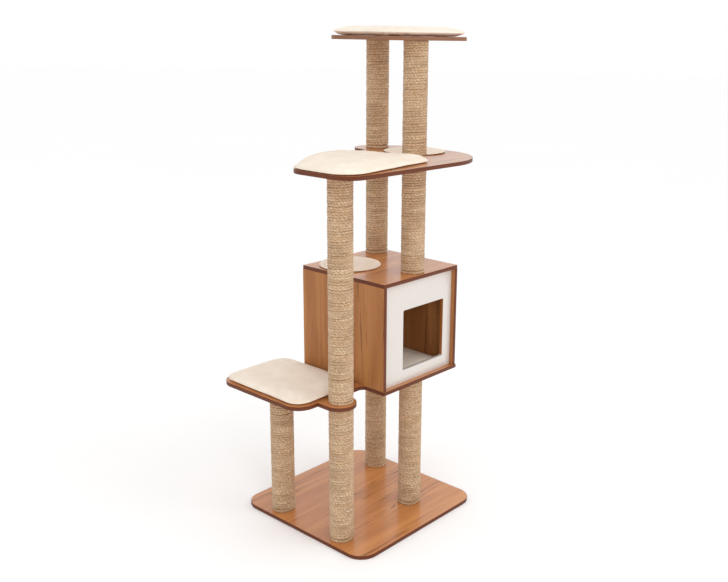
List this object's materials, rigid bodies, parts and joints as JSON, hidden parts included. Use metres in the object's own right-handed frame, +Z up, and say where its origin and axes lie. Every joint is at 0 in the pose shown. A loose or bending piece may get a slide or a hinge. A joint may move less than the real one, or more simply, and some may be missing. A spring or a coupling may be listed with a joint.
{
  "type": "cat tree",
  "caption": "Tall cat tree: sisal-wound posts on a square base carry a cushioned shelf, a cube house with a doorway and two upper perches.",
  "frame": {"origin": "centre of the base board's underside, on the floor", "axes": "+Z up; -Y is the side that the cube house's doorway faces; +X to the right when facing the doorway"},
  "size_m": [0.699, 0.568, 1.582],
  "materials": {
    "walnut_laminate": "satin",
    "edge_banding": "satin",
    "white_melamine": "gloss",
    "sisal_wrap": "matt",
    "cardboard_core": "matt",
    "cushion_plush": "matt",
    "hook_and_loop": "matt",
    "bare_wood": "matt",
    "zinc_steel": "satin"
  },
  "bodies": {
    "frame": {"back_left_leg_core": "cardboard_core", "back_left_leg_wrap": "sisal_wrap", "back_perch_post_core": "cardboard_core", "back_perch_post_wrap": "sisal_wrap", "back_right_leg_core": "cardboard_core", "back_right_leg_wrap": "sisal_wrap", "back_roof_post_core": "cardboard_core", "back_roof_post_wrap": "sisal_wrap", "base_board": "walnut_laminate", "base_edge_band": "edge_banding", "cube_back_wall": "walnut_laminate", "cube_dowels": "bare_wood", "cube_front_panel": "white_melamine", "cube_left_wall": "walnut_laminate", "cube_right_wall": "walnut_laminate", "cube_roof": "walnut_laminate", "cube_roof_edge_band": "edge_banding", "cube_wall_edge_bands": "edge_banding", "front_left_leg_core": "cardboard_core", "front_left_leg_wrap": "sisal_wrap", "front_perch_post_core": "cardboard_core", "front_perch_post_wrap": "sisal_wrap", "front_right_leg_core": "cardboard_core", "front_right_leg_wrap": "sisal_wrap", "front_roof_post_core": "cardboard_core", "front_roof_post_wrap": "sisal_wrap", "hook_patches": "hook_and_loop", "lower_tower_post_core": "cardboard_core", "lower_tower_post_wrap": "sisal_wrap", "middle_perch_board": "walnut_laminate", "middle_perch_edge_band": "edge_banding", "post_bolts": "zinc_steel", "post_end_plugs": "bare_wood", "post_washers": "zinc_steel", "shelf_board": "walnut_laminate", "shelf_edge_band": "edge_banding", "through_studs": "zinc_steel", "top_perch_board": "walnut_laminate", "top_perch_edge_band": "edge_banding", "tower_stud": "zinc_steel", "upper_tower_post_core": "cardboard_core", "upper_tower_post_wrap": "sisal_wrap"},
    "shelf_cushion": {"shelf_cushion": "cushion_plush", "shelf_cushion_loop_patches": "hook_and_loop"},
    "middle_cushion": {"middle_cushion": "cushion_plush", "middle_cushion_loop_patches": "hook_and_loop"},
    "top_cushion": {"top_cushion": "cushion_plush", "top_cushion_loop_patches": "hook_and_loop"},
    "roof_pad": {"roof_pad": "cushion_plush", "roof_pad_loop_patches": "hook_and_loop"},
    "perch_pad": {"perch_pad": "cushion_plush", "perch_pad_loop_patches": "hook_and_loop"},
    "cabin_cushion": {"cabin_cushion": "cushion_plush"}
  },
  "joints": [
    {"name": "shelf_cushion_lift", "type": "slide", "parent": "frame", "child": "shelf_cushion", "axis": [0, 0, 1], "range_m": [0, 0.08]},
    {"name": "middle_cushion_lift", "type": "slide", "parent": "frame", "child": "middle_cushion", "axis": [0, 0, 1], "range_m": [0, 0.08]},
    {"name": "top_cushion_lift", "type": "slide", "parent": "frame", "child": "top_cushion", "axis": [0, 0, 1], "range_m": [0, 0.08]},
    {"name": "roof_pad_lift", "type": "slide", "parent": "frame", "child": "roof_pad", "axis": [0, 0, 1], "range_m": [0, 0.08]},
    {"name": "perch_pad_lift", "type": "slide", "parent": "frame", "child": "perch_pad", "axis": [0, 0, 1], "range_m": [0, 0.08]},
    {"name": "cabin_cushion_lift", "type": "slide", "parent": "frame", "child": "cabin_cushion", "axis": [0, 0, 1], "range_m": [0, 0.06]}
  ]
}
